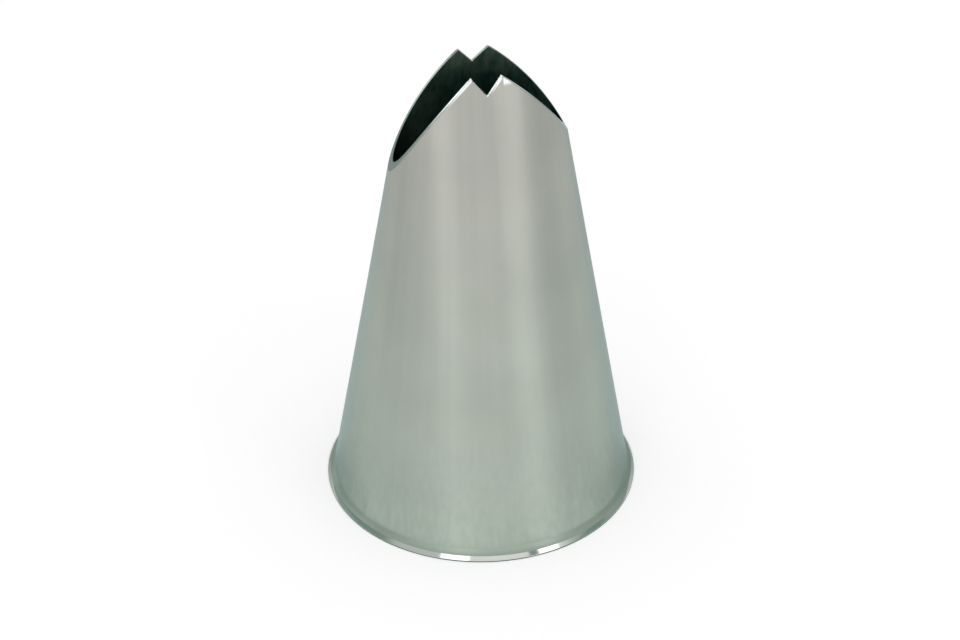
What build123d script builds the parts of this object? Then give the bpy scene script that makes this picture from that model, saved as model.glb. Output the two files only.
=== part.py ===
from build123d import *
from math import copysign, cos, pi, sin
import os

# A leaf piping nozzle: a steel cone whose top is pressed flat into a slit and cut to a notched point.
# All lengths are in millimetres. The origin is the centre of the foot, on the face it stands on.
# +Z runs up the nozzle to the mouth, and the slit of the mouth runs along X.

# The cone's sheet and the outside of its straight skirt, which the foot ring fits round
wall = 0.4
skirt_radius = 16.2

# The blank: the cone as pressed, with a flattened top that is trimmed off above the points
blank_trim = 1.5
blank_half_width = 7.7
blank_half_depth = 2.95
leaf_power_share = 1.6
leaf_steps = 20

# The mouth: two lips, each with two points and a notch between them.
# It isn't cut quite square, so its left corner lies deeper below the points than its right one.
point_height = 52.5
point_spacing = 3.2
notch_depth = 1.95
left_corner_drop = 11.95
right_corner_drop = 9.45
lip_bulge = 0.65

# The foot ring, a bright collar: a narrow upright land at the foot, then a face that slopes inwards
ring_width = 0.75
ring_height = 0.6
ring_land = 0.15
ring_slope = 0.3
solder_gap = 0.05

# The solder that fills the corner between ring and skirt, out to the ring's top edge
bead_height = 0.7
bead_hollow = 0.1

# How far every cut runs past what it cuts
overrun = 2.0

# Places that follow from the sizes
skirt_height = ring_height + bead_height
point_offset = point_spacing / 2
blank_height = point_height + blank_trim
ring_bore = skirt_radius + solder_gap
ring_radius = ring_bore + ring_width
ring_top_radius = ring_radius - ring_slope


def leaf_outline(half_width, half_depth):
    """A leaf drawn at equal steps of one turn. The sine's power draws its two ends out to points."""
    turns = [2 * pi * step / leaf_steps for step in range(leaf_steps + 1)]
    points = []
    for turn in turns[:-1]:
        reach = copysign(abs(sin(turn)) ** leaf_power_share, sin(turn))
        points.append((half_width * cos(turn), half_depth * reach))
    return Edge.make_spline(points, periodic=True, parameters=turns)


def cone_reach(height):
    """How far the cone's widest side lies from the middle, at a height above the skirt."""
    rise_share = (height - skirt_height) / (blank_height - skirt_height)
    return skirt_radius + (blank_half_width - skirt_radius) * rise_share


# The nozzle's cone, hollow from the foot to the mouth: its outside, then the space in it.
# The skirt rises straight, and the straight lines above it join equal turns of its circle and the leaf.
with BuildPart() as nozzle_cone:
    for inset, mode in ((0, Mode.ADD), (wall, Mode.SUBTRACT)):
        with BuildSketch():
            Circle(skirt_radius - inset)
        extrude(amount=skirt_height, mode=mode)
        with BuildSketch(Plane.XY.offset(skirt_height)):
            Circle(skirt_radius - inset)
        with BuildSketch(Plane.XY.offset(blank_height)):
            with BuildLine():
                add(leaf_outline(blank_half_width - inset, blank_half_depth - inset))
            make_face()
        loft(ruled=True, mode=mode)

    # Everything above the lips is cut off straight through, so both lips have one outline
    with BuildSketch(Plane.XZ):
        with BuildLine():
            for side, corner_drop in ((-1, left_corner_drop), (1, right_corner_drop)):
                corner_height = point_height - corner_drop
                notch = Line((0, point_height - notch_depth), (side * point_offset, point_height))
                lip = SagittaArc(notch @ 1, (side * cone_reach(corner_height), corner_height), side * lip_bulge)
                tail = Line(lip @ 1, lip @ 1 + (lip % 1) * overrun)
                above = Line(tail @ 1, (side * (skirt_radius + overrun), blank_height + overrun))
                Line(above @ 1, (0, blank_height + overrun))
        make_face()
    extrude(amount=skirt_radius + overrun, both=True, mode=Mode.SUBTRACT)
nozzle_cone.part.label = "nozzle_cone"


# The foot ring, turned from bar to its section
with BuildPart() as foot_ring:
    with BuildSketch(Plane.XZ):
        with BuildLine():
            underside = Line((ring_bore, 0), (ring_radius, 0))
            land = Line(underside @ 1, (ring_radius, ring_land))
            Polyline(land @ 1, (ring_top_radius, ring_height), (ring_bore, ring_height), underside @ 0)
        make_face()
    revolve(axis=Axis.Z)
foot_ring.part.label = "foot_ring"


# The solder bead, a hollow-faced fillet from the ring's top edge up to the top of the skirt
with BuildPart() as solder_bead:
    with BuildSketch(Plane.XZ):
        with BuildLine():
            bed = Line((skirt_radius, ring_height), (ring_top_radius, ring_height))
            back = Line(bed @ 0, (skirt_radius, ring_height + bead_height))
            SagittaArc(bed @ 1, back @ 1, bead_hollow)
        make_face()
    revolve(axis=Axis.Z)
solder_bead.part.label = "solder_bead"


os.makedirs("parts", exist_ok=True)
export_step(nozzle_cone.part, "parts/nozzle_cone.step")
export_step(foot_ring.part, "parts/foot_ring.step")
export_step(solder_bead.part, "parts/solder_bead.step")
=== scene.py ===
# %% [markdown]
# # A leaf piping nozzle
# The nozzle is a small cone of satin stainless sheet. Its round foot stands on the table inside a bright
# ring, and its top is pressed flat and cut to two notched lips that draw icing out into the shape of a leaf.
# Everything here is in metres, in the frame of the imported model: +Z runs up to the mouth, X along its slit.

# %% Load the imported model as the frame
from math import cos, pi, radians, sin, tan
import bmesh
import bpy
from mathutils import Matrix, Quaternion, Vector


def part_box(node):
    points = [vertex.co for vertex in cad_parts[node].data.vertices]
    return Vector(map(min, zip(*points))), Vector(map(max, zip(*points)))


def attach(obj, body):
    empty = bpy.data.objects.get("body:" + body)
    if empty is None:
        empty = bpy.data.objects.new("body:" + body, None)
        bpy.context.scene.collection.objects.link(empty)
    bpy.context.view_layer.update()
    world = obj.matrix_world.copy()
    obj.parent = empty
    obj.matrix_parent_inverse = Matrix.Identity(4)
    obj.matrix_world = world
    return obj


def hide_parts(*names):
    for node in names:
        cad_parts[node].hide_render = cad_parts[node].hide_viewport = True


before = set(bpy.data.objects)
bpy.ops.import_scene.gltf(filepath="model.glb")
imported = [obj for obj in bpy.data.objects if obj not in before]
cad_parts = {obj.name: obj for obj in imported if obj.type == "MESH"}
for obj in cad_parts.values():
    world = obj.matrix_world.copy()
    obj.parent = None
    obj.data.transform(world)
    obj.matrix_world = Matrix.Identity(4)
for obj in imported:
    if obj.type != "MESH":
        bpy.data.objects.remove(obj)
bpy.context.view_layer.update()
mm = 0.001

# %% [markdown]
# A size that the frame knows is read from the frame. The pressing and the cut of the mouth can't be read from
# a box, so those sizes stand here by name, as they do in the part's own drawing.

# %% The sizes of the nozzle
cone_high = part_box("nozzle_cone")[1]
ring_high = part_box("foot_ring")[1]
bead_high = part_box("solder_bead")[1]
skirt_radius = cone_high.x
skirt_height = bead_high.z
point_height = cone_high.z
wall = 0.4 * mm
blank_trim = 1.5 * mm
blank_height = point_height + blank_trim
leaf_half_width = 7.7 * mm
leaf_half_depth = 2.95 * mm
leaf_power = 1.6
point_offset = 1.6 * mm
notch_depth = 1.95 * mm
left_corner_drop = 11.95 * mm
right_corner_drop = 9.45 * mm
lip_bulge = 0.65 * mm
print("skirt radius", round(skirt_radius / mm, 2), "mm, points at", round(point_height / mm, 2), "mm")

# %% [markdown]
# The edge of each lip is an arc of a large circle. Two ends and the bulge between them fix that circle, and
# its centre and radius are what the next steps need: a straight line up the wall meets a circle in one sum.
# The mouth isn't cut quite square, so its left corner lies deeper than its right one and has its own circle.


# %% The circles that the lips are cut along
def lip_circle(drop):
    """The centre (how far out, how high) and the radius of the arc from a point down to a corner."""
    corner_height = point_height - drop
    corner_rise = (corner_height - skirt_height) / (blank_height - skirt_height)
    corner_offset = skirt_radius + (leaf_half_width - skirt_radius) * corner_rise
    chord = Vector((corner_offset - point_offset, corner_height - point_height))
    radius = (chord.length ** 2 / 4 + lip_bulge ** 2) / (2 * lip_bulge)
    outward = Vector((-chord.y, chord.x)).normalized()
    centre = Vector((point_offset, point_height)) + chord / 2 - outward * (radius - lip_bulge)
    print("corner at", round(corner_offset / mm, 2), "mm out, lip arc radius", round(radius / mm, 1), "mm")
    return centre, radius


left_centre, left_radius = lip_circle(left_corner_drop)
right_centre, right_radius = lip_circle(right_corner_drop)

# %% [markdown]
# Node trees do their sums in Math nodes, one for each plus or times. This small class builds them from sums
# written the usual way, so that a rule can be read as a formula and still ends up as plain nodes.


# %% A number inside a node tree
def math_node(tree, operation, *values):
    """Adds one Math node and returns what it puts out."""
    node = tree.nodes.new("ShaderNodeMath")
    node.operation = operation
    for socket, value in zip(node.inputs, values):
        if isinstance(value, Field):
            tree.links.new(value.socket, socket)
        else:
            socket.default_value = value
    return Field(tree, node.outputs[0])


class Field:
    """A number inside a node tree, which can differ from point to point."""

    def __init__(self, tree, socket):
        self.tree = tree
        self.socket = socket

    def math(self, operation, *values):
        """What a Math node makes of this field and other values."""
        return math_node(self.tree, operation, self, *values)

    def __add__(self, other):
        return self.math("ADD", other)

    def __sub__(self, other):
        return self.math("SUBTRACT", other)

    def __mul__(self, other):
        return self.math("MULTIPLY", other)

    def __truediv__(self, other):
        return self.math("DIVIDE", other)

    def __pow__(self, other):
        return self.math("POWER", other)

    def __rsub__(self, other):
        return math_node(self.tree, "SUBTRACT", other, self)

    def clamped(self):
        """The field, but never below 0 or above 1."""
        return self.math("MAXIMUM", 0.0).math("MINIMUM", 1.0)

    def ramp(self, none_at, full_at):
        """Runs straight from 0 at one value of the field to 1 at another, and is level beyond them."""
        return ((self - none_at) / (full_at - none_at)).clamped()

    def eased(self):
        """Runs from 0 to 1 as the field does, but starts and stops gently."""
        return (1.0 - (self.clamped() * pi).math("COSINE")) * 0.5


# %% [markdown]
# Each Geometry Nodes tree here has named inputs for its sizes. One helper adds them, and another runs a tree
# on an empty mesh and keeps the result as a plain mesh, so that no modifier is left on the finished piece.


# %% Trees with named sizes
def new_tree(name, sizes):
    """A Geometry Nodes tree with one input for each size, whole numbers for counts, and a material."""
    tree = bpy.data.node_groups.new(name, "GeometryNodeTree")
    tree.interface.new_socket("Mesh", in_out="OUTPUT", socket_type="NodeSocketGeometry")
    for size, value in sizes.items():
        kind = "NodeSocketInt" if isinstance(value, int) else "NodeSocketFloat"
        tree.interface.new_socket(size, in_out="INPUT", socket_type=kind)
    tree.interface.new_socket("Material", in_out="INPUT", socket_type="NodeSocketMaterial")
    start = tree.nodes.new("NodeGroupInput")
    return tree, {socket.name: Field(tree, socket) for socket in start.outputs if socket.name}


def chain(tree, geometry, kind, **links):
    """Adds a geometry node after a geometry socket, links its other inputs, and returns the node."""
    node = tree.nodes.new(kind)
    tree.links.new(geometry, node.inputs[0])
    for name, field in links.items():
        tree.links.new(field.socket, node.inputs[name.replace("_", " ")])
    return node


def finish_tree(tree, geometry, material):
    """Ends a tree as the export needs it: real geometry with its material set."""
    solid = chain(tree, geometry, "GeometryNodeRealizeInstances")
    painted = chain(tree, solid.outputs[0], "GeometryNodeSetMaterial", Material=material)
    end = tree.nodes.new("NodeGroupOutput")
    tree.links.new(painted.outputs[0], end.inputs[0])


def run_tree(name, tree, sizes, material):
    """Makes a piece of what a tree gives for these sizes."""
    piece = bpy.data.objects.new(name, bpy.data.meshes.new(name))
    bpy.context.collection.objects.link(piece)
    modifier = piece.modifiers.new("Rule", "NODES")
    modifier.node_group = tree
    for item in tree.interface.items_tree:
        if item.in_out == "INPUT":
            modifier[item.identifier] = material if item.name == "Material" else sizes[item.name]
    ready = piece.evaluated_get(bpy.context.evaluated_depsgraph_get())
    mesh = bpy.data.meshes.new_from_object(ready)
    piece.modifiers.clear()
    piece.data = mesh
    print(name, "has", len(mesh.polygons), "faces")
    return piece


# %% [markdown]
# ## The cone
# The real cone is one sheet, drawn round at the foot and squeezed between jaws at the top. Straight lines
# still run up it, from each point of the foot's circle to a point of a leaf. So the piece follows a rule,
# written in Geometry Nodes: a flat grid is wrapped round the nozzle one way, and the other way round the
# sheet's own thickness, up the outside, over the lip, down the inside and back under the foot.


# %% Where a point is in the sheet, by its row of the grid
def through_sheet(size, step):
    """How far a point is through the sheet's thickness, and how far up it, both from 0 to 1."""
    skin, edge = size["Skin rows"], size["Edge rows"]
    through = ((step - skin) / edge).eased() - ((step - skin * 2.0 - edge) / edge).eased()
    up = (step / skin).eased() - ((step - skin - edge) / skin).eased()
    return through, up


def edge_drop(size, inset):
    """How far a cut edge drops away near a skin, along a quarter circle, so that it is rounded."""
    from_skin = inset.math("MINIMUM", size["Wall"] - inset)
    short = (1.0 - from_skin / size["Edge radius"]).math("MAXIMUM", 0.0)
    return size["Edge radius"] * (1.0 - (1.0 - short * short).math("SQRT"))


# %% [markdown]
# The mouth is cut through both lips at once, so each straight line up the wall ends where it meets that cut.
# The cut is an arc beside the points and a V between them, and the lower of the two is where the metal ends.
# A column of the grid runs up to each point, so that the points come out sharp.


# %% Where a point is round the nozzle, and how high its line ends
def turn_in_quarter(size, around, point_turn):
    """The turn from the mouth's corner to a lip's middle, shared out before and after the lip's point."""
    quarter = (around * 4.0).math("PINGPONG", 1.0)
    share = size["Point share"]
    past_point = ((quarter - share) / (1.0 - share)).clamped()
    return (quarter / share).clamped() * point_turn + past_point * (pi / 2 - point_turn)


def lip_height(size, foot_x, lean, sign_x):
    """How high a line up the wall ends, at the circle of its own lip half or at the notch."""
    right_share = sign_x * 0.5 + 0.5
    centre_x, centre_z, arc_radius = (
        size["Left " + name] + (size["Right " + name] - size["Left " + name]) * right_share
        for name in ("centre X", "centre Z", "radius"))
    from_centre = foot_x - centre_x
    first = lean * lean + 1.0
    second = from_centre * lean - centre_z
    third = from_centre ** 2.0 + centre_z ** 2.0 - arc_radius ** 2.0
    arc_height = ((second * second - first * third).math("SQRT") - second) / first
    notch_slope = size["Notch depth"] / size["Point offset"]
    notch_foot = size["Point height"] - size["Notch depth"]
    notch_height = (notch_foot + notch_slope * foot_x) / (1.0 - notch_slope * lean)
    return arc_height.math("MINIMUM", notch_height)


# %% [markdown]
# Now the whole rule. Each point gets its place in the sheet and its turn, and moves from the grid to its
# line. The finish needs to know which way the metal was drawn and how far through the sheet each point is, so
# the mesh carries both. The grid's first and last rows meet under the foot, and are merged there.

# %% The rule of the wall
merge_reach = 0.001 * mm


def combined(tree, *parts):
    """A vector made of three fields."""
    node = tree.nodes.new("ShaderNodeCombineXYZ")
    for socket, part in zip(node.inputs, parts):
        tree.links.new(part.socket, socket)
    return Field(tree, node.outputs[0])


def wall_tree(sizes):
    """A tree that bends one grid into the pressed and cut wall."""
    tree, size = new_tree("Pressed wall", sizes)
    grid = tree.nodes.new("GeometryNodeMeshGrid")
    rows = (size["Skin rows"] + size["Edge rows"]) * 2.0
    tree.links.new((size["Columns"] + 1.0).socket, grid.inputs["Vertices X"])
    tree.links.new((rows + 1.0).socket, grid.inputs["Vertices Y"])
    grid.inputs["Size X"].default_value = 1.0
    grid.inputs["Size Y"].default_value = 1.0
    place = tree.nodes.new("ShaderNodeSeparateXYZ")
    tree.links.new(tree.nodes.new("GeometryNodeInputPosition").outputs[0], place.inputs[0])
    around = Field(tree, place.outputs["X"]) + 0.5
    through, up = through_sheet(size, (Field(tree, place.outputs["Y"]) + 0.5) * rows)
    inset = through * size["Wall"]
    drop = edge_drop(size, inset)

    # The circle of the foot and the leaf, both smaller by the inset, and the turn on them
    taper = size["Blank height"] - size["Skirt height"]
    radius = size["Skirt radius"] - inset
    half_width = size["Leaf half width"] - inset
    half_depth = size["Leaf half depth"] - inset
    point_rise = (size["Point height"] - size["Skirt height"]) / taper
    point_turn = (size["Point offset"] / (radius + (half_width - radius) * point_rise)).math("ARCCOSINE")
    turn = turn_in_quarter(size, around, point_turn)
    side, face = turn.math("COSINE"), turn.math("SINE")
    full_turn = around * (2 * pi)
    sign_x, sign_y = full_turn.math("COSINE").math("SIGN"), full_turn.math("SINE").math("SIGN")

    # The line up the wall, the point's height on it, and how far it has gone from circle to leaf
    lean = (half_width - radius) * side / taper
    foot_x = radius * side - lean * size["Skirt height"]
    height = drop + (lip_height(size, foot_x, lean, sign_x) - drop * 2.0) * up
    rise = ((height - size["Skirt height"]) / taper).math("SMOOTH_MAX", 0.0, size["Bend share"])
    x = side * (radius + (half_width - radius) * rise) * sign_x
    y = (face * radius * (1.0 - rise) + (face ** size["Leaf power"]) * half_depth * rise) * sign_y

    # What the finish needs to know, and then the move itself
    bent = grid.outputs["Mesh"]
    drawn = combined(tree, side * sign_x, face * sign_y, up)
    for name, kind, field in (("drawn", "FLOAT_VECTOR", drawn), ("through", "FLOAT", through)):
        store = chain(tree, bent, "GeometryNodeStoreNamedAttribute")
        store.data_type = kind
        store.inputs["Name"].default_value = name
        tree.links.new(field.socket, store.inputs["Value"])
        bent = store.outputs[0]
    moved = chain(tree, bent, "GeometryNodeSetPosition", Position=combined(tree, x, y, height))
    closed = chain(tree, moved.outputs[0], "GeometryNodeMergeByDistance")
    closed.inputs["Distance"].default_value = merge_reach
    smooth = chain(tree, closed.outputs[0], "GeometryNodeSetShadeSmooth")
    finish_tree(tree, smooth.outputs[0], size["Material"])
    return tree


# %% [markdown]
# The wall gets its material before the tree runs, so the finishes come first. Satin steel isn't one flat
# grey: fine scratches run round it, faint streaks run up it from the drawing, it is a little cloudy from
# handling, and it carries a few tiny pits. Two groups of shader nodes make these, with each metal's own
# values.


# %% Shader helpers
def new_group(name, inputs, outputs):
    """A shader node group with named inputs and outputs."""
    group = bpy.data.node_groups.new(name, "ShaderNodeTree")
    for direction, sockets in (("INPUT", inputs), ("OUTPUT", outputs)):
        for socket, kind in sockets.items():
            group.interface.new_socket(socket, in_out=direction, socket_type="NodeSocket" + kind)
    start, end = group.nodes.new("NodeGroupInput"), group.nodes.new("NodeGroupOutput")
    return group, {socket: Field(group, start.outputs[socket]) for socket in inputs}, end


def noise(tree, vector, scale, detail=3.0):
    """A noise texture's value, 0 to 1, read at a vector."""
    node = tree.nodes.new("ShaderNodeTexNoise")
    node.inputs["Detail"].default_value = detail
    tree.links.new(vector.socket, node.inputs["Vector"])
    tree.links.new(scale.socket, node.inputs["Scale"])
    return Field(tree, node.outputs["Fac"])


def stretched(tree, vector, stretch):
    """A vector with each of its parts multiplied by the same part of another."""
    node = tree.nodes.new("ShaderNodeVectorMath")
    node.operation = "MULTIPLY"
    tree.links.new(vector.socket, node.inputs[0])
    tree.links.new(stretch.socket, node.inputs[1])
    return Field(tree, node.outputs[0])


# %% [markdown]
# Grain is noise that is stretched along one direction, so that it turns into streaks. Cloud is the same noise
# left round and made large. A pit is the middle of a Voronoi cell, and only a few cells have one.

# %% Grain, cloud and pits
grain_group, grain_in, grain_end = new_group(
    "Stretched grain", {"Direction": "Vector", "Stretch": "Vector", "Scale": "Float"}, {"Grain": "Float"})
along = stretched(grain_group, grain_in["Direction"], grain_in["Stretch"])
grain_group.links.new(noise(grain_group, along, grain_in["Scale"]).socket, grain_end.inputs["Grain"])

pit_size = 0.07
pit_chance = 0.12
handling_group, handling_in, handling_end = new_group(
    "Handling", {"Place": "Vector", "Cloud scale": "Float", "Pit scale": "Float"},
    {"Cloud": "Float", "Pits": "Float"})
cloud = noise(handling_group, handling_in["Place"], handling_in["Cloud scale"])
cells = handling_group.nodes.new("ShaderNodeTexVoronoi")
handling_group.links.new(handling_in["Place"].socket, cells.inputs["Vector"])
handling_group.links.new(handling_in["Pit scale"].socket, cells.inputs["Scale"])
nearness = (1.0 - Field(handling_group, cells.outputs["Distance"]) / pit_size).clamped()
has_pit = Field(handling_group, cells.outputs["Color"]).math("LESS_THAN", pit_chance)
handling_group.links.new(cloud.socket, handling_end.inputs["Cloud"])
handling_group.links.new((nearness * has_pit).socket, handling_end.inputs["Pits"])
print("groups made:", grain_group.name, "and", handling_group.name)


# %% Helpers for a metal
def use_group(tree, group, **values):
    """Places a group in a material, with numbers set and fields linked, and returns its outputs as fields."""
    node = tree.nodes.new("ShaderNodeGroup")
    node.node_tree = group
    for name, value in values.items():
        socket = node.inputs[name.replace("_", " ")]
        if isinstance(value, Field):
            tree.links.new(value.socket, socket)
        else:
            socket.default_value = value
    return {socket.name: Field(tree, socket) for socket in node.outputs}


def attribute(tree, name, output="Fac"):
    """A number or vector that the mesh carries."""
    node = tree.nodes.new("ShaderNodeAttribute")
    node.attribute_name = name
    return Field(tree, node.outputs[output])


def colour_between(tree, share, low, high):
    """A colour that goes from low to high with a field."""
    node = tree.nodes.new("ShaderNodeMix")
    node.data_type = "RGBA"
    tree.links.new(share.socket, node.inputs["Factor"])
    for socket, colour in ((node.inputs[6], low), (node.inputs[7], high)):
        if isinstance(colour, Field):
            tree.links.new(colour.socket, socket)
        else:
            socket.default_value = (*colour, 1.0)
    return Field(tree, node.outputs[2])


def part_of(tree, vector, axis):
    """One part of a vector: X, Y or Z."""
    node = tree.nodes.new("ShaderNodeSeparateXYZ")
    tree.links.new(vector.socket, node.inputs[0])
    return Field(tree, node.outputs[axis])


def new_metal(name):
    """A material with a metallic Principled shader, and its Object coordinates."""
    material = bpy.data.materials.new(name)
    material.use_nodes = True
    tree = material.node_tree
    shader = tree.nodes["Principled BSDF"]
    shader.inputs["Metallic"].default_value = 1.0
    coordinates = tree.nodes.new("ShaderNodeTexCoord")
    return material, tree, shader, Field(tree, coordinates.outputs["Object"])


def brushed_round(tree, shader, strength=0.9, rotation=0.25):
    """Scratches that run round the axis smear every reflection up and down, a quarter turn from them."""
    shader.inputs["Anisotropic"].default_value = strength
    shader.inputs["Anisotropic Rotation"].default_value = rotation
    tangent = tree.nodes.new("ShaderNodeTangent")
    tangent.direction_type = "RADIAL"
    tangent.axis = "Z"
    tree.links.new(tangent.outputs[0], shader.inputs["Tangent"])


def finish_metal(material, shader, colour, roughness, relief, edge_tint, depth=0.003 * mm):
    """Gives a metal its colour and roughness, a relief for the light only, and a duller tint at its rim."""
    tree = material.node_tree
    bump = tree.nodes.new("ShaderNodeBump")
    bump.inputs["Distance"].default_value = depth
    tree.links.new(relief.socket, bump.inputs["Height"])
    tree.links.new(bump.outputs["Normal"], shader.inputs["Normal"])
    tree.links.new(colour.socket, shader.inputs["Base Color"])
    tree.links.new(roughness.socket, shader.inputs["Roughness"])
    shader.inputs["Specular Tint"].default_value = (*edge_tint, 1.0)
    print(material.name, "has", len(tree.nodes), "shader nodes")


# %% [markdown]
# The sheet's outside was polished while the cone turned, so its scratches run round it and each reflection
# is smeared up and down. It is a little greener at the foot, where it is mottled too. A painted picture of
# the steel would fit one view only, so all of this is made from each point's place on the metal.

# %% The sheet's polished side
satin, tree, shader, place = new_metal("satin_steel_sheet")
steel_top = (0.495, 0.490, 0.446)
steel_foot = (0.435, 0.513, 0.440)
# Darker steel for random dulling, and for the solder's painted shade by the ring.
dull_steel_and_shade = (0.30, 0.32, 0.29)
colour_change_top = 45.0 * mm
mottle_top = 16.0 * mm
cloud_dulls, streaks_dull, mottle_dulls, pits_dull = 0.5, 0.2, 0.8, 1.2
dull_all_over = 0.25
drawn = attribute(tree, "drawn", "Vector")
through = attribute(tree, "through")
streaks = use_group(tree, grain_group, Direction=drawn, Stretch=(1.0, 1.0, 0.05), Scale=16.0)["Grain"]
scratches = use_group(tree, grain_group, Direction=drawn, Stretch=(0.06, 0.06, 1.0), Scale=420.0)["Grain"]
mottle = use_group(tree, grain_group, Direction=place, Stretch=(1.0, 1.0, 0.35), Scale=1700.0)["Grain"]
handling = use_group(tree, handling_group, Place=place, Cloud_scale=110.0, Pit_scale=330.0)
height = part_of(tree, place, "Z")
near_foot = height.ramp(mottle_top, 0.0)
foot_to_top_colour = colour_between(tree, height.ramp(0.0, colour_change_top), steel_foot, steel_top)
dulling = ((handling["Cloud"] - 0.5) * cloud_dulls + (streaks - 0.5) * streaks_dull
           + (mottle - 0.5) * near_foot * mottle_dulls + handling["Pits"] * pits_dull + dull_all_over)
outside = colour_between(tree, dulling.clamped(), foot_to_top_colour, dull_steel_and_shade)
print("the steel is greener below", round(colour_change_top / mm), "mm, and mottled below", round(mottle_top / mm))

# %% [markdown]
# The cut edge of the front lip is painted bright at its two points, as a painted glint. The rest of the cut
# is dull, and painted greyer still in the deep left corner, as painted shade. The mesh carries how far
# through the sheet each point is, so one material can tell the cut from both skins. It also carries the way
# that the metal was drawn, whose X is -1 at the left corner, 0 in the middle and 1 at the right corner. Each
# pair below is where a mark fades in: none of it at the first value, and all of it at the second.

# %% The cut edge
# Painted glint: the cut is painted near white at the front points.
painted_glint_colour = (0.95, 0.96, 0.94)
cut_dull = (0.42, 0.45, 0.41)
cut_corner_shade = (0.22, 0.24, 0.21)
cut_fades_in = (0.06, 0.11)
far_side_fades_in = (0.7, 0.95)
away_from_points = (0.3485, 0.6515)
left_corner_fades_in = (-0.78, -0.9467)
back_fades_in = (0.0, 0.125)
turn_x = part_of(tree, drawn, "X")
at_back = part_of(tree, drawn, "Y").ramp(*back_fades_in)
off_the_glint = turn_x.math("ABSOLUTE").ramp(*away_from_points) + through.ramp(*far_side_fades_in) + at_back
cut = colour_between(tree, off_the_glint.clamped(), painted_glint_colour, cut_dull)
# Painted shade: the cut is painted grey in the deep left corner, where the lips nearly meet.
cut = colour_between(tree, turn_x.ramp(*left_corner_fades_in), cut, cut_corner_shade)
is_cut = through.ramp(*cut_fades_in)
outside = colour_between(tree, is_cut, outside, cut)
print("the cut starts", cut_fades_in[0], "of the way through the sheet")

# %% [markdown]
# A narrow strip on both sides of the notch, just below the cut, and a small patch beside the right point, are
# painted bright as painted highlights.

# %% Where the painted highlights lie beside the cut
left_run_starts, left_run_ends = (-4.4 * mm, -2.6 * mm), (-1.55 * mm, -1.6 * mm)
right_run_starts, right_run_ends = (0.3 * mm, 1.2 * mm), (1.65 * mm, 1.6 * mm)
strip_fades_in = (0.9935, 0.9965)
patch_starts, patch_rises = (1.72 * mm, 1.82 * mm), (51.4 * mm, 51.8 * mm)
sideways = part_of(tree, place, "X")
left_run = sideways.ramp(*left_run_starts) * sideways.ramp(*left_run_ends)
right_run = sideways.ramp(*right_run_starts) * sideways.ramp(*right_run_ends)
near_lip = part_of(tree, drawn, "Z").ramp(*strip_fades_in)
patch = sideways.ramp(*patch_starts) * height.ramp(*patch_rises)
# Painted highlight: strips beside the notch and a patch by the right point.
painted_highlight_share = (patch + (left_run + right_run) * near_lip).clamped() * (1.0 - at_back)
outside = colour_between(tree, painted_highlight_share, outside, painted_glint_colour)
print("the patch starts", round(patch_rises[0] / mm, 1), "mm up")

# %% [markdown]
# The inside, which no wheel reaches, is rough, and it is painted nearly black in patches, as painted shade
# for the dark of the hollow. The cut is smoother than the polished side, and the scratches that roughen that
# side are raised a little as well.

# %% The inside, and the sheet's whole finish
# Painted shade: the inside is painted nearly black, for the dark of the hollow.
inside_shade_dark = (0.02, 0.07, 0.055)
inside_shade_light = (0.15, 0.22, 0.17)
inside_fades_in = (0.9, 0.95)
cloud_lightens, mottle_lightens, light_all_over = 2.5, 1.5, 0.55
polished_roughness, scratch_roughness, cloud_roughness = 0.26, 0.08, 0.04
cut_smoother, inside_rougher = 0.14, 0.3
scratch_relief, pit_relief = 0.25, 2.0
sheet_edge_tint = (0.60, 0.70, 0.74)
is_inside = through.ramp(*inside_fades_in)
patchy = (handling["Cloud"] - 0.5) * cloud_lightens + (mottle - 0.5) * mottle_lightens + light_all_over
inside_painted_shade = colour_between(tree, patchy.clamped(), inside_shade_dark, inside_shade_light)
roughness = (scratches * scratch_roughness + handling["Cloud"] * cloud_roughness + polished_roughness
             - is_cut * cut_smoother + is_inside * inside_rougher)
relief = scratches * scratch_relief + mottle * near_foot - handling["Pits"] * pit_relief
brushed_round(tree, shader)
finish_metal(satin, shader, colour_between(tree, is_inside, outside, inside_painted_shade), roughness, relief,
             sheet_edge_tint)

# %% The wall itself
wall_sizes = {
    "Skirt radius": skirt_radius, "Skirt height": skirt_height, "Blank height": blank_height,
    "Leaf half width": leaf_half_width, "Leaf half depth": leaf_half_depth, "Leaf power": leaf_power,
    "Wall": wall, "Edge radius": 0.06 * mm, "Bend share": 0.012,
    "Point height": point_height, "Point offset": point_offset, "Notch depth": notch_depth,
    "Left centre X": left_centre.x, "Left centre Z": left_centre.y, "Left radius": left_radius,
    "Right centre X": right_centre.x, "Right centre Z": right_centre.y, "Right radius": right_radius,
    "Point share": 0.875, "Columns": 256, "Skin rows": 56, "Edge rows": 10,
}
cone = run_tree("pressed_cone", wall_tree(wall_sizes), wall_sizes, satin)

# %% [markdown]
# ## The foot
# The ring was turned from bar on a lathe and polished, and the solder in its corner was dressed smooth. Both
# are one section turned about the nozzle's axis, so one helper spins a list of (radius, height) points.

# %% Turning a section
sharp_angle = radians(40)


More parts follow.
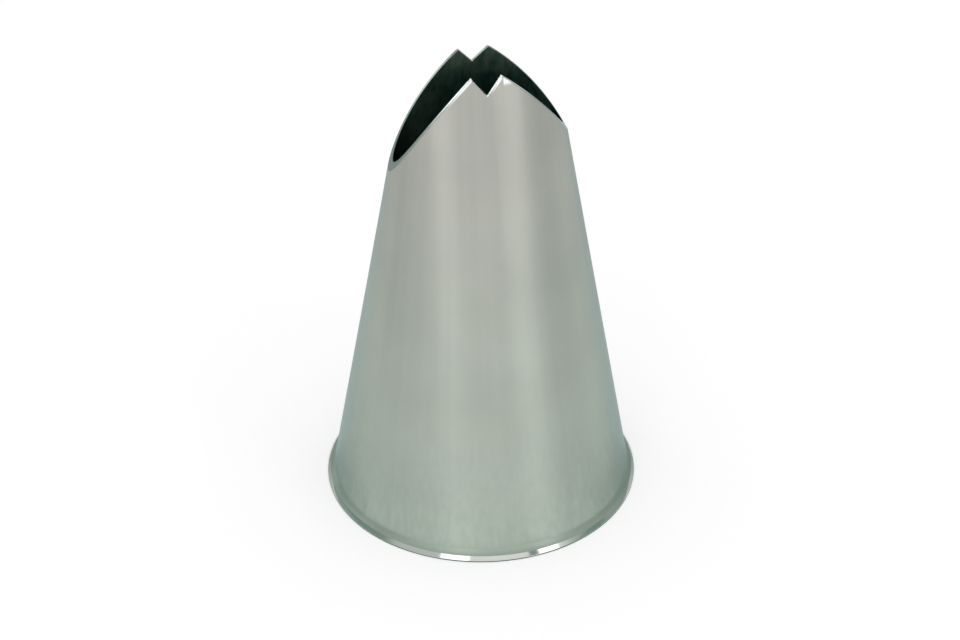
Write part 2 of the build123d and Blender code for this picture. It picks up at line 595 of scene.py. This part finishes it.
def turned(name, section, material, steps=288):
    """Spins a closed section about Z into a smooth closed ring."""
    shape = bmesh.new()
    rings = []
    for step in range(steps):
        turn = 2 * pi * step / steps
        rings.append([shape.verts.new((radius * cos(turn), radius * sin(turn), height))
                      for radius, height in section])
    for step, ring in enumerate(rings):
        following = rings[(step + 1) % steps]
        for place, vertex in enumerate(ring):
            after = (place + 1) % len(ring)
            shape.faces.new((vertex, following[place], following[after], ring[after]))
    bmesh.ops.recalc_face_normals(shape, faces=shape.faces)
    mesh = bpy.data.meshes.new(name)
    shape.to_mesh(mesh)
    shape.free()
    mesh.shade_smooth()
    mesh.set_sharp_from_angle(angle=sharp_angle)
    mesh.materials.append(material)
    piece = bpy.data.objects.new(name, mesh)
    bpy.context.collection.objects.link(piece)
    print(name, "has", len(mesh.polygons), "faces")
    return piece


def curve(start, pull, end, steps=6):
    """Points of a smooth bend from start to end that leaves and arrives towards pull."""
    start, pull, end = Vector(start), Vector(pull), Vector(end)
    shares = [step / steps for step in range(steps + 1)]
    return [tuple(start.lerp(pull, share).lerp(pull.lerp(end, share), share)) for share in shares]


def softened(before, corner, after, reach, steps=4):
    """A corner of a section, rounded from a reach before it to a reach after it."""
    before, corner, after = Vector(before), Vector(corner), Vector(after)
    start = corner + (before - corner).normalized() * reach
    end = corner + (after - corner).normalized() * reach
    return curve(start, corner, end, steps)


# %% [markdown]
# The ring's face was polished, so it mirrors the room. Its narrow upright land never was, so it is rough, and
# it is painted dark as painted contact shadow where the ring stands on the table.

# %% Polished steel for the ring
polished, tree, shader, place = new_metal("polished_steel_ring")
ring_low_colour = (0.56, 0.59, 0.54)
ring_high_colour = (0.68, 0.71, 0.65)
# Painted shadow: the land is painted nearly black where the ring meets the table.
land_painted_shadow = (0.10, 0.13, 0.12)
ring_edge_tint = (0.50, 0.56, 0.55)
ring_roughness, cloud_roughness, land_rougher = 0.05, 0.08, 0.4
ring_land = 0.15 * mm
land_is_full = 0.875 * ring_land
handling = use_group(tree, handling_group, Place=place, Cloud_scale=260.0, Pit_scale=900.0)
is_land = part_of(tree, place, "Z").ramp(ring_land, land_is_full)
ring_colour = colour_between(tree, handling["Cloud"], ring_low_colour, ring_high_colour)
finish_metal(polished, shader, colour_between(tree, is_land, ring_colour, land_painted_shadow),
             handling["Cloud"] * cloud_roughness + ring_roughness + is_land * land_rougher,
             handling["Cloud"] - handling["Pits"], ring_edge_tint)

# %% The ring, an upright land at the foot and a face that slopes inwards above it
ring_radius, ring_height = ring_high.x, ring_high.z
ring_top = bead_high.x
solder_gap = 0.05 * mm
soft_edge = 0.05 * mm
ring_bore = skirt_radius + solder_gap
foot_corner, land_corner = (ring_radius, 0.0), (ring_radius, ring_land)
top_corner, inner_top, inner_foot = (ring_top, ring_height), (ring_bore, ring_height), (ring_bore, 0.0)
ring_section = (
    softened(inner_foot, foot_corner, land_corner, soft_edge)
    + softened(foot_corner, land_corner, top_corner, soft_edge)
    + [top_corner, inner_top, inner_foot]
)
ring = turned("polished_ring", ring_section, polished)

# %% [markdown]
# The solder took the same brushing as the cone that it runs into. Low down, in the corner at the ring, it is
# painted darker as painted shade.

# %% Solder
solder, tree, shader, place = new_metal("dressed_solder")
solder_roughness, cloud_roughness = 0.4, 0.1
cloud_darkens, ring_corner_shade_darkens = 0.25, 0.3
ring_corner_shade_top = ring_height + (skirt_height - ring_height) * 2 / 3
handling = use_group(tree, handling_group, Place=place, Cloud_scale=180.0, Pit_scale=600.0)
# Painted shade: the solder is painted darker low down, in the corner at the ring.
ring_corner_shade = part_of(tree, place, "Z").ramp(ring_corner_shade_top, ring_height)
darkening = handling["Cloud"] * cloud_darkens + ring_corner_shade * ring_corner_shade_darkens
brushed_round(tree, shader)
finish_metal(solder, shader, colour_between(tree, darkening, steel_foot, dull_steel_and_shade),
             handling["Cloud"] * cloud_roughness + solder_roughness,
             handling["Cloud"] - handling["Pits"], sheet_edge_tint)

# %% The bead, which runs smoothly into the cone
bead_back = skirt_radius - 0.1 * mm
bead_bend = (skirt_radius + 0.07 * mm, skirt_height - 0.5 * mm)
bead_top = (skirt_radius - 0.045 * mm, skirt_height)
bead_face = curve(top_corner, bead_bend, bead_top, steps=12)
bead = turned("solder_fillet", bead_face + [(bead_back, skirt_height), (bead_back, ring_height)], solder)

# %% [markdown]
# ## On the body
# Nothing on a nozzle moves, so its one body is called root. Each piece rides on it and stands for its node.

# %% Ride on the frame
for piece, node, slot in ((cone, "nozzle_cone", "satin_steel"), (ring, "foot_ring", "bright_steel"),
                          (bead, "solder_bead", "solder")):
    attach(piece, "root")
    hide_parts(node)
    print(piece.name, "stands for", node)

# %% [markdown]
# ## The studio
# The nozzle stands on a white table in a white room. The room alone lights the table, which glows a little by
# itself where the camera or a reflection sees it, so that it turns white and still keeps a soft shadow. The
# spot that the nozzle covers doesn't glow, so the nozzle stays dark inside.


# %% Helpers for the studio
def seen_rays(tree):
    """1 for what the camera, a reflection or glass sees, and 0 for the light that falls on things."""
    light_path = tree.nodes.new("ShaderNodeLightPath")
    seen = Field(tree, light_path.outputs["Is Camera Ray"])
    for ray in ("Is Glossy Ray", "Is Transmission Ray"):
        seen = seen.math("MAXIMUM", Field(tree, light_path.outputs[ray]))
    return seen


def new_stage(name, corners, faces, material):
    """A plain mesh that belongs to the studio and not to the nozzle."""
    mesh = bpy.data.meshes.new(name)
    mesh.from_pydata(corners, [], faces)
    mesh.materials.append(material)
    thing = bpy.data.objects.new(name, mesh)
    bpy.context.collection.objects.link(thing)
    return thing


def bare_material(name):
    """A material with nothing in it yet but its end."""
    material = bpy.data.materials.new(name)
    material.use_nodes = True
    tree = material.node_tree
    tree.nodes.clear()
    return material, tree, tree.nodes.new("ShaderNodeOutputMaterial").inputs["Surface"]


# %% Table
paper_colour = (0.82, 0.82, 0.82, 1.0)
paper_glow = 0.385
table_half = 1.5
paper, tree, paper_end = bare_material("white_paper")
sheen = tree.nodes.new("ShaderNodeBsdfDiffuse")
sheen.inputs["Color"].default_value = paper_colour
glow = tree.nodes.new("ShaderNodeEmission")
coordinates = tree.nodes.new("ShaderNodeTexCoord")
from_middle = tree.nodes.new("ShaderNodeVectorMath")
from_middle.operation = "LENGTH"
tree.links.new(coordinates.outputs["Object"], from_middle.inputs[0])
in_the_open = Field(tree, from_middle.outputs["Value"]).math("GREATER_THAN", skirt_radius)
tree.links.new((seen_rays(tree) * in_the_open * paper_glow).socket, glow.inputs["Strength"])
both = tree.nodes.new("ShaderNodeAddShader")
tree.links.new(sheen.outputs[0], both.inputs[0])
tree.links.new(glow.outputs[0], both.inputs[1])
tree.links.new(both.outputs[0], paper_end)
table_corners = [(x * table_half, y * table_half, 0) for x, y in ((-1, -1), (1, -1), (1, 1), (-1, 1))]
new_stage("table", table_corners, [(0, 1, 2, 3)], paper)
print("the table is", 2 * table_half, "m wide")

# %% Room
room_light = 0.75
world = bpy.data.worlds.new("white_room")
bpy.context.scene.world = world
world.use_nodes = True
background = world.node_tree.nodes["Background"]
background.inputs["Color"].default_value = (1, 1, 1, 1)
room_strength = seen_rays(world.node_tree) * (1.0 - room_light) + room_light
world.node_tree.links.new(room_strength.socket, background.inputs["Strength"])
print("the room lights things with", room_light, "of the white that is seen")

# %% [markdown]
# Bare metal shows the room, so a photographer of metal lights the room and not the metal. In an all white
# room a cone looks flat. Grey screens at both sides, and grey felt on the table, give it its darker flanks;
# the felt round the foot is painted shade of the table there, which only reflections see. A low fence on the
# felt does the same for the ring's face, which looks almost level across the table. Narrow lamps give the
# ring and the lips their white glints, and the cut of the lips carries painted glints of its own. Azimuths
# here are counted from the camera, to its right, in degrees.

# %% Where the camera stands
camera_turn = -12.784
camera_elevation = 35.323


def direction(azimuth, elevation):
    """The direction from the nozzle at an azimuth counted from the camera."""
    turn, rise = radians(azimuth + camera_turn), radians(elevation)
    return Vector((sin(turn) * cos(rise), -cos(turn) * cos(rise), sin(rise)))


to_camera = direction(0, camera_elevation)
print("the camera is seen towards", [round(part, 2) for part in to_camera])


# %% Screens that only reflections see
screen_distance = 0.45
screen_step = 5
screen_dark = (0.25, 0.34, 0.31)
felt, tree, felt_end = bare_material("grey_felt")
glow = tree.nodes.new("ShaderNodeEmission")
felt_colour = colour_between(tree, attribute(tree, "white"), screen_dark, (1.0, 1.0, 1.0))
tree.links.new(felt_colour.socket, glow.inputs["Color"])
tree.links.new(glow.outputs[0], felt_end)


def screen(name, stops, lower, upper):
    """A curved sheet of felt between two rims, which each have a radius and a height.
    Each stop is an azimuth, in degrees, and how white the felt is there."""
    corners, faces, whites = [], [], []
    for (start, start_white), (end, end_white) in zip(stops, stops[1:]):
        count = max(1, round(abs(end - start) / screen_step))
        for step in range(count + 1):
            share = step / count
            level = direction(start + (end - start) * share, 0)
            corners += [(level.x * radius, level.y * radius, height) for radius, height in (lower, upper)]
            whites += [start_white + (end_white - start_white) * share] * 2
            if step:
                last = len(corners)
                faces.append((last - 4, last - 2, last - 1, last - 3))
    sheet = new_stage(name, corners, faces, felt)
    sheet.data.attributes.new("white", "FLOAT", "POINT").data.foreach_set("value", whites)
    sheet.visible_camera = False
    sheet.visible_diffuse = False
    sheet.visible_transmission = False
    sheet.visible_shadow = False
    print(name, "from", stops[0][0], "to", stops[-1][0], "degrees")


def rim(elevation):
    """The rim of an upright screen that is seen from the nozzle at an elevation."""
    return screen_distance, screen_distance * tan(radians(elevation))


# %% The screens at both sides
screen("left_low_screen", [(-34, 1.0), (-66, 0.0), (-165, 0.0)], rim(0), rim(14))
screen("left_high_screen", [(-28, 0.55), (-60, 0.5), (-70, 0.05), (-85, 0.0)], rim(14), rim(36))
screen("left_far_screen", [(-85, 0.0), (-165, 0.0)], rim(14), rim(26))
screen("right_low_screen", [(42, 1.0), (68, 0.0), (88, 0.0), (96, 0.18), (165, 0.18)], rim(0), rim(14))
screen("right_high_screen", [(54, 1.0), (64, 0.45), (76, 0.1), (88, 0.0), (165, 0.0)], rim(14), rim(32))
screen("gap_screen", [(33, 0.0), (40, 0.0)], rim(16), rim(45))

# %% The felt and the fence on the table
just_above = 0.02 * mm
# The felt round the foot is painted shade: it stands in for the table's shade beside the foot, which only
# reflections see.
foot_stops = ((60, 1.0), (72, 0.8), (84, 0.55), (97, 0.5), (106, 0.9), (165, 0.9))
foot_rims = (17.3 * mm, just_above), (23.0 * mm, 0.05 * mm)
fence_stops = ((60, 0.1), (88, 0.1))
fence_rims = (20.0 * mm, just_above), (20.05 * mm, 0.8 * mm)
table_rims = (0.12, just_above), (0.19, just_above)
for side, hand in ((-1, "left"), (1, "right")):
    for thing, stops, rims in (("felt", foot_stops, foot_rims), ("fence", fence_stops, fence_rims)):
        screen(f"{hand}_foot_{thing}", [(side * turn, white) for turn, white in stops], *rims)
screen("table_felt", [(150, 0.2), (168, 0.2)], *table_rims)


# %% Lamps
def softbox(name, azimuth, elevation, wide, high, strength, distance=0.5, target=(0, 0, 0.02)):
    """A lamp that faces the nozzle. Its angles are as seen from there, and a strength of 1 is white."""
    light = bpy.data.lights.new(name, "AREA")
    light.shape = "RECTANGLE"
    light.size, light.size_y = (2 * distance * tan(radians(angle / 2)) for angle in (wide, high))
    light.energy = strength * pi * light.size * light.size_y
    lamp = bpy.data.objects.new(name, light)
    bpy.context.collection.objects.link(lamp)
    offset = direction(azimuth, elevation) * distance
    lamp.location = Vector(target) + offset
    lamp.rotation_euler = offset.to_track_quat("Z", "Y").to_euler()
    lamp.visible_camera = False
    print(name, "gives", round(light.energy, 2), "watts")


softbox("left_glint", azimuth=-18.5, elevation=24, wide=19, high=17, strength=1.3)
softbox("right_glint", azimuth=49, elevation=20, wide=18, high=17, strength=1.3)
softbox("streak", azimuth=35.5, elevation=6, wide=9, high=14, strength=0.75)
softbox("lip_glint", azimuth=-130.5, elevation=5.5, wide=10, high=12, strength=1.6,
        distance=0.4, target=(0, 0, 0.05))

# %% [markdown]
# ## The camera
# The photograph's outline was fitted with a pinhole camera 400 mm away, 35 degrees above the table and turned
# 13 degrees to the left of the nozzle's front. It was held a quarter of a degree out of level.

# %% Camera
camera_distance = 400.0 * mm
camera_roll = radians(-0.238)
focal_pixels = 3697.267
picture_width = 960
sensor_width = 36.0
nearest_seen = 0.01
aim_height = 19.909 * mm
aim_sideways = -0.046 * mm
camera_data = bpy.data.cameras.new("camera")
camera_data.sensor_width = sensor_width
camera_data.lens = focal_pixels / picture_width * sensor_width
camera_data.clip_start = nearest_seen
camera = bpy.data.objects.new("camera", camera_data)
bpy.context.collection.objects.link(camera)
to_right = direction(90, 0)
camera.location = Vector((0.0, 0.0, aim_height)) + to_right * aim_sideways + to_camera * camera_distance
camera.rotation_euler = (to_camera.to_track_quat("Z", "Y") @ Quaternion((0, 0, 1), camera_roll)).to_euler()
bpy.context.scene.camera = camera
bpy.context.scene.view_settings.view_transform = "Standard"
print("lens", round(camera_data.lens, 1), "mm")
